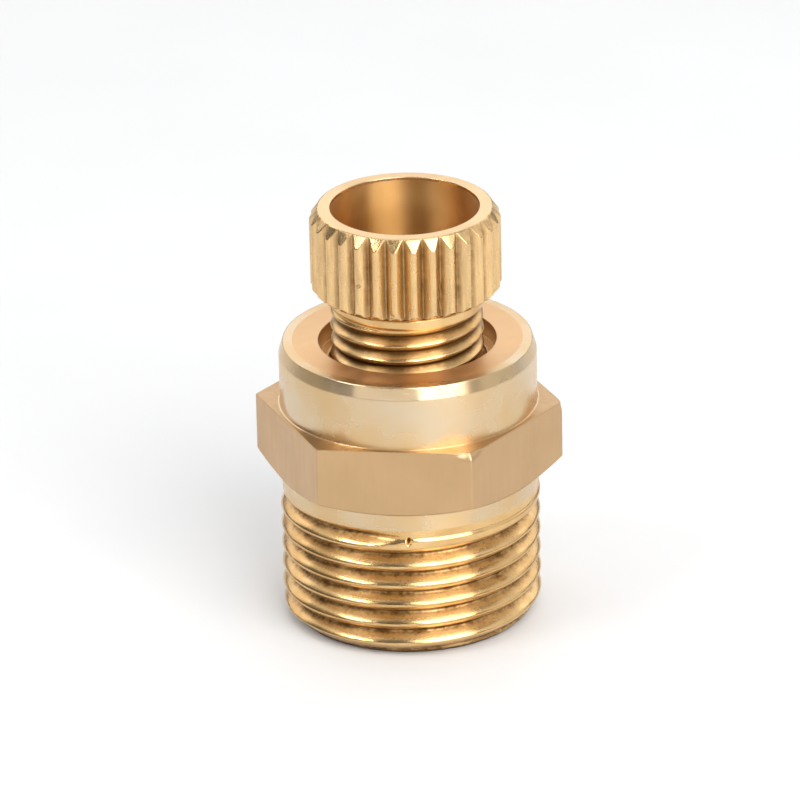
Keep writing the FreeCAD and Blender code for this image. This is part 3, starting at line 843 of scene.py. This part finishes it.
def knurled_brass():
    """Knurled brass: bright crests, grooves between them darkened with dirt and painted shade, and a
    grubby cut surface.
    """
    n = Nodes("knurl_brass")
    split = n.add("ShaderNodeSeparateXYZ")
    n.link(n.place(), split.inputs[0])
    around = n.maths("ARCTAN2", split.outputs["Y"], split.outputs["X"])
    from_first = n.maths("SUBTRACT", around, math.radians(KNURL_PHASE))
    teeth = n.maths("MULTIPLY", from_first, float(KNURL_COUNT))
    groove = n.remap(n.maths("COSINE", teeth), 0.1, 1.0, 0.0, 1.0)
    below_chamfer = n.remap(n.height(), HEAD_TOP_CHAMFER_Z, HEAD_TOP_Z, 1.0, 0.3)
    blotch = n.noise(KNURL_BLOTCH, 4.0, 0.65)
    streak = n.noise(1.0, 3.0, 0.6, stretch=KNURL_STREAK)
    # painted shade: the grooves darken towards brown for dirt and for the shade between the teeth, less
    # so on the top chamfer
    dirt_and_shade = n.maths("MULTIPLY", groove, n.remap(n.maths("ADD", blotch, streak), 0.7, 1.3, 0.25, 1.0))
    dirt_and_shade = n.maths("MULTIPLY", dirt_and_shade, below_chamfer)
    metal = n.ramp(streak, [(0.35, BRASS), (0.65, THREAD_LIGHT)])
    colour = n.mix(dirt_and_shade, metal, GROOVE_DIRT_AND_SHADE)
    roughness = n.remap(n.maths("ADD", blotch, groove), 0.4, 1.5, 0.24, 0.46)
    normal = n.bump(streak, 0.35, COARSE_MARK)
    return n.finish(colour, roughness, n.bump(blotch, 0.25, COARSE_MARK, normal))


def drawn_brass(name):
    """The hexagon's drawn flats: even, slightly matt, with faint streaks along the axis."""
    n = Nodes(name)
    streak = n.noise(1.0, 3.0, 0.6, stretch=DRAWN_STREAK)
    cloud = n.noise(DRAWN_CLOUD)
    colour = n.ramp(cloud, [(0.3, HEX_DEEP), (0.7, HEX_LIGHT)])
    roughness = n.remap(streak, *NOISE_SPAN, 0.30, 0.44)
    return n.finish(colour, roughness, n.bump(streak, 0.15, FINE_MARK))


def strainer_steel():
    """Thin stainless sheet with a faint rolled grain."""
    n = Nodes("strainer_sheet")
    grain = n.noise(1.0, stretch=ROLLED_GRAIN)
    colour = n.ramp(grain, [(0.3, STEEL_DEEP), (0.7, STEEL_LIGHT)])
    return n.finish(colour, n.remap(grain, *NOISE_SPAN, 0.25, 0.42), n.bump(grain, 0.2, FINE_MARK))


def spring_steel():
    """Dark oiled spring steel."""
    n = Nodes("spring_steel_oiled")
    patch = n.noise(OIL_PATCH, 4.0)
    colour = n.ramp(patch, [(0.35, OILED_DEEP), (0.7, OILED_LIGHT)])
    return n.finish(colour, n.remap(patch, *NOISE_SPAN, 0.24, 0.45), n.bump(patch, 0.2, FINE_MARK))


def black_rubber(name, shade):
    """Moulded rubber of a dark shade, with a fine dusty grain twice as pale."""
    n = Nodes(name)
    grain = n.noise(RUBBER_GRAIN)
    dusty = shade * 2
    colour = n.ramp(grain, [(0.3, (shade, shade, shade)), (0.7, (dusty, dusty, dusty))])
    return n.finish(colour, n.remap(grain, *NOISE_SPAN, 0.5, 0.7), n.bump(grain, 0.3, MIDDLE_MARK), 0.0)


def pressed_fibre():
    """Pale pressed cellulose with short fibres."""
    n = Nodes("pressed_fibre")
    fibre = n.noise(1.0, 4.0, 0.7, stretch=FIBRES)
    colour = n.ramp(fibre, [(0.3, FIBRE_DEEP), (0.7, FIBRE_LIGHT)])
    return n.finish(colour, n.remap(fibre, *NOISE_SPAN, 0.75, 0.95), n.bump(fibre, 0.5, FIBRE_MARK), 0.0)


# ---------------------------------------------------------------- building the part

body_brass = [
    thread_brass("pipe_thread_brass", PIPE_ROOT_R, PIPE_CREST_R),
    drawn_brass("hexagon_brass"),
    turned_brass("collar_brass", BRASS_LIGHT, BRASS_GREY, line_strength=0.04),
    # mouth_brass: its more orange gold is partly painted reflection of brass in brass
    turned_brass("mouth_brass", MOUTH_ORANGE_AND_REFLECTION, MOUTH_BROWN_AND_REFLECTION, (0.30, 0.46), grain=0.5),
    turned_brass("body_inside_brass", BRASS, BRASS_DEEP, (0.25, 0.45)),
]
screw_brass = [
    thread_brass("stem_thread_brass", STEM_ROOT_R, STEM_CREST_R, mottle=0.35),
    knurled_brass(),
    turned_brass("rim_brass", RIM_LIGHT, RIM_LIGHT, (0.2, 0.34)),
    # cup_brass: its deep gold is partly painted reflection between the cup's brass walls
    turned_brass("cup_brass", CUP_GOLD_AND_REFLECTION, CUP_BROWN_AND_REFLECTION, (0.42, 0.52), line_strength=0.30, grain=0.93),
    turned_brass("screw_inside_brass", BRASS, BRASS_DEEP, (0.25, 0.45)),
]

body_piece = valve_body(body_brass)
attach(body_piece, "body")
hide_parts("valve_body")

screw_piece = vent_screw(screw_brass)
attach(screw_piece, "screw")
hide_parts("vent_screw")


def dress(node_name, material):
    """Give a carried-over CAD node its own material."""
    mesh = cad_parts[node_name].data
    mesh.materials.clear()
    mesh.materials.append(material)


washer_brass = turned_brass("washer_stamped_brass", BRASS, BRASS_DEEP, (0.25, 0.4))
fibre = pressed_fibre()
ring_steel = spring_steel()
dress("inlet_strainer", strainer_steel())
dress("strainer_ring", ring_steel)
dress("disc_retaining_ring", ring_steel)
dress("stem_o_ring", black_rubber("seal_rubber_black", shade=0.012))
dress("seat_pad", black_rubber("pad_rubber_black", shade=0.02))
dress("swivel_pad_holder", turned_brass("holder_turned_brass", BRASS, BRASS_DEEP))
dress("disc_spindle", turned_brass("spindle_turned_brass", BRASS_LIGHT, BRASS))
dress("disc_support", washer_brass)
dress("disc_cover", washer_brass)
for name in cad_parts:
    if name.startswith("swelling_disc_"):
        dress(name, fibre)

# ---------------------------------------------------------------- floor, light and camera

# half the floor's side, and how far it lies below the part so that they share no plane, in metres
FLOOR_HALF = 1.5
FLOOR_DROP = 0.00002

ROOM_LIGHT = 0.14

# soft boxes: direction and elevation in degrees; distance, width and height in metres; brightness
LIGHT_AIM = (0, 0, 0.014)
SOFT_BOXES = [
    ("wall_behind", 187, 32, 1.2, 3.4, 0.9, 1.25),
    ("overhead", 187, 84, 1.0, 1.1, 0.8, 1.15),
    ("key_front_right", 37, 36, 0.38, 0.30, 0.36, 5.0),
    ("low_front_left", -16, 14, 1.0, 0.95, 0.20, 1.9),
    ("fill_right", 100, 28, 1.0, 1.0, 0.8, 0.8),
    ("high_left", -88, 46, 1.0, 1.5, 0.36, 0.9),
    ("strip_left", -57, 45, 0.6, 0.26, 0.05, 19.0),
]

# camera: where it stands, in degrees and metres; its lens and sensor, in millimetres; how far the
# picture is shifted, in widths of the sensor; and the nearest distance that it sees, in metres
CAMERA_AZIMUTH = 6.645
CAMERA_ELEVATION = 24.129
CAMERA_ROLL = -1.185
CAMERA_DISTANCE = 0.5127
CAMERA_AIM = (0, 0, 0.013)
LENS = 361.9
SENSOR_WIDTH = 36.0
SHIFT_X = -0.0112
SHIFT_Y = 0.0222
NEAR_CLIP = 0.01


def floor():
    """A wide pale floor under the part."""
    n = Nodes("floor_white")
    grain = n.noise(FLOOR_GRAIN, 2.0)
    colour = n.ramp(grain, [(0.3, FLOOR_DEEP), (0.7, FLOOR_LIGHT)])
    n.finish(colour, n.remap(grain, *NOISE_SPAN, 0.55, 0.65), metallic=0.0)
    mesh = bpy.data.meshes.new("floor")
    ways = ((-1, -1), (1, -1), (1, 1), (-1, 1))
    corners = [(FLOOR_HALF * x, FLOOR_HALF * y, 0) for x, y in ways]
    mesh.from_pydata(corners, [], [(0, 1, 2, 3)])
    mesh.materials.append(n.material)
    sheet = bpy.data.objects.new("floor", mesh)
    sheet.location = (0, 0, -FLOOR_DROP)
    bpy.context.scene.collection.objects.link(sheet)


def direction(azimuth, elevation):
    """A unit vector towards a compass direction; azimuth 0 is the front, 90 the right."""
    a, e = math.radians(azimuth), math.radians(elevation)
    return Vector((math.sin(a) * math.cos(e), -math.cos(a) * math.cos(e), math.sin(e)))


def softbox(name, azimuth, elevation, distance, width, height, brightness):
    """An area light that faces the part and that the camera doesn't see."""
    light = bpy.data.lights.new(name, "AREA")
    light.shape = "RECTANGLE"
    light.size = width
    light.size_y = height
    light.energy = brightness * math.pi * width * height
    lamp = bpy.data.objects.new(name, light)
    aim = Vector(LIGHT_AIM)
    lamp.location = aim + distance * direction(azimuth, elevation)
    lamp.rotation_euler = (aim - lamp.location).to_track_quat("-Z", "Y").to_euler()
    lamp.visible_camera = False
    bpy.context.scene.collection.objects.link(lamp)


def studio():
    """Even room light and the soft boxes."""
    world = bpy.data.worlds.new("studio")
    world.use_nodes = True
    background = world.node_tree.nodes["Background"]
    background.inputs["Strength"].default_value = ROOM_LIGHT
    background.inputs["Color"].default_value = (1, 1, 1, 1)
    bpy.context.scene.world = world
    for box in SOFT_BOXES:
        softbox(*box)


def camera():
    """A long lens, a little right of the front and above."""
    back = direction(CAMERA_AZIMUTH, CAMERA_ELEVATION)
    roll = Matrix.Rotation(math.radians(CAMERA_ROLL), 4, "Z")
    data = bpy.data.cameras.new("camera")
    data.lens = LENS
    data.sensor_width = SENSOR_WIDTH
    data.shift_x = SHIFT_X
    data.shift_y = SHIFT_Y
    data.clip_start = NEAR_CLIP
    seat = bpy.data.objects.new("camera", data)
    turn = back.to_track_quat("Z", "Y").to_matrix().to_4x4() @ roll
    seat.matrix_world = Matrix.Translation(Vector(CAMERA_AIM) + back * CAMERA_DISTANCE) @ turn
    bpy.context.scene.collection.objects.link(seat)
    bpy.context.scene.camera = seat


bpy.context.scene.view_settings.view_transform = "Standard"
floor()
studio()
camera()
